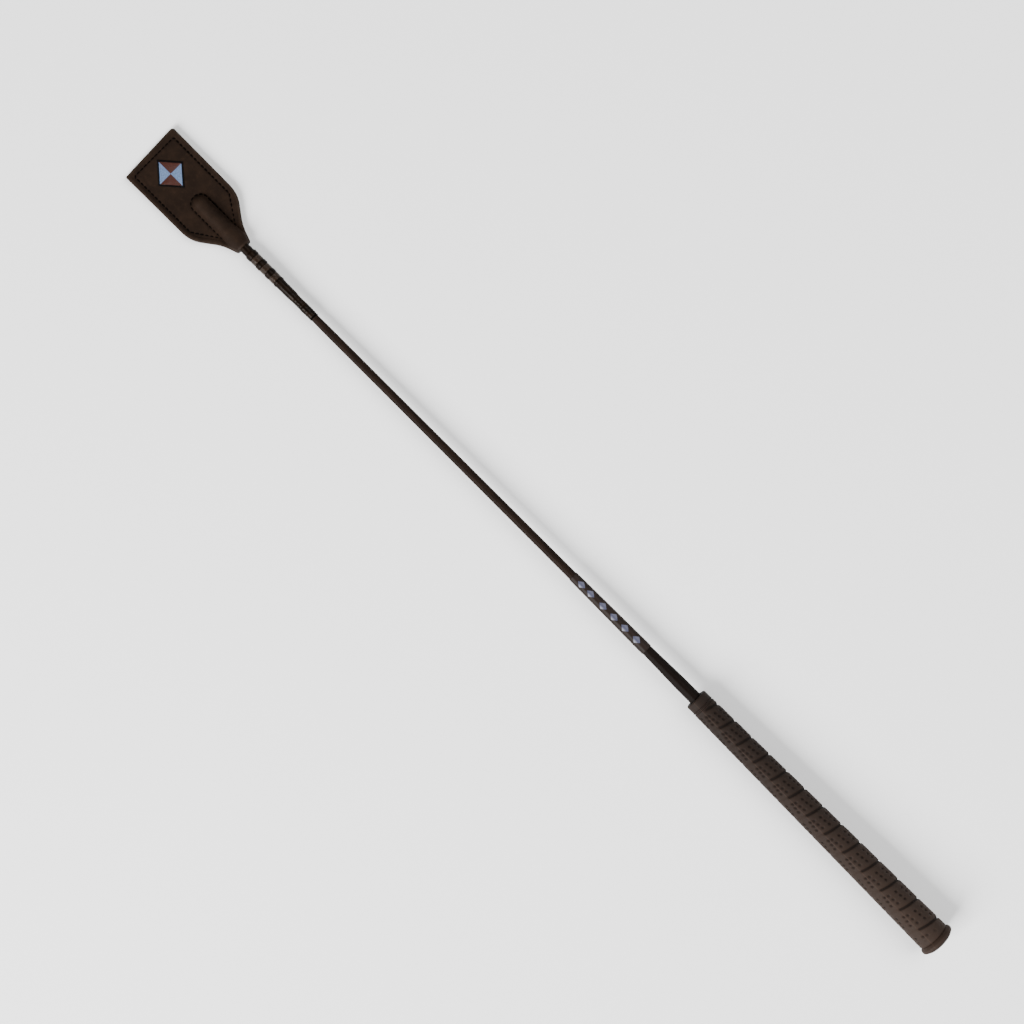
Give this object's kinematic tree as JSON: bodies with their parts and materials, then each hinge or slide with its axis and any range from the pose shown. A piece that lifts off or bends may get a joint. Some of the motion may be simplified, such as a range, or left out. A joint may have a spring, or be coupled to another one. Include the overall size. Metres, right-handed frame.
{
  "type": "riding crop",
  "caption": "Short jumping crop: tapered braided shaft, wrapped rubber grip with flared butt cap, and a flat stitched leather flap that bends.",
  "frame": {"origin": "centre of the flat face on the butt cap's end, on the shaft's axis", "axes": "+X along the shaft from the butt to the flap's free end, +Z out of the flap's embroidered face, +Y across the flap"},
  "size_m": [0.6499, 0.04, 0.0222],
  "materials": {
    "cap_rubber": "matte moulded rubber",
    "grip_rubber": "matte moulded rubber with a wrapped-strip groove and dimples",
    "core_plastic": "moulded build-up core, hidden",
    "rod_fibreglass": "pultruded glass fibre rod, hidden",
    "shaft_thread": "tight lacquered thread braid, glossy",
    "printed_sleeve": "matte sleeve printed with small lozenges",
    "keeper_lacquer": "glossy lacquered sleeve",
    "band_thread": "waxed whipping thread",
    "dark_thread": "waxed black sewing thread",
    "flap_leather": "dark brown bridle leather, lightly rubbed edges",
    "filler_board": "stiffener board, hidden",
    "light_thread": "satin-stitch embroidery thread, pale blue",
    "rust_thread": "satin-stitch embroidery thread, rust",
    "border_thread": "satin-stitch embroidery thread, near black"
  },
  "bodies": {
    "crop": {"butt_cap": "cap_rubber", "grip_rubber": "grip_rubber", "grip_core": "core_plastic", "core_rod": "rod_fibreglass", "braid_cover": "shaft_thread", "label_sleeve": "printed_sleeve", "keeper_sleeve": "keeper_lacquer", "whipping_band_1": "band_thread", "whipping_band_2": "band_thread", "whipping_band_3": "band_thread", "keeper_end_thread": "dark_thread", "flap_front_root": "flap_leather", "flap_back_root": "flap_leather", "flap_filler_root": "filler_board", "edge_stitching_root": "dark_thread", "tongue_stitching": "dark_thread"},
    "flap_blade": {"flap_front_blade": "flap_leather", "flap_back_blade": "flap_leather", "flap_filler_blade": "filler_board", "edge_stitching_blade": "dark_thread", "emblem_light_thread": "light_thread", "emblem_rust_thread": "rust_thread", "emblem_border_thread": "border_thread"}
  },
  "joints": [
    {"name": "flap_flex", "type": "hinge", "parent": "crop", "child": "flap_blade", "pos_m": [0.614, 0, -0.00185], "axis": [0, 1, 0], "range_deg": [-40, 40], "stiffness_Nm_per_rad": 0.25}
  ]
}
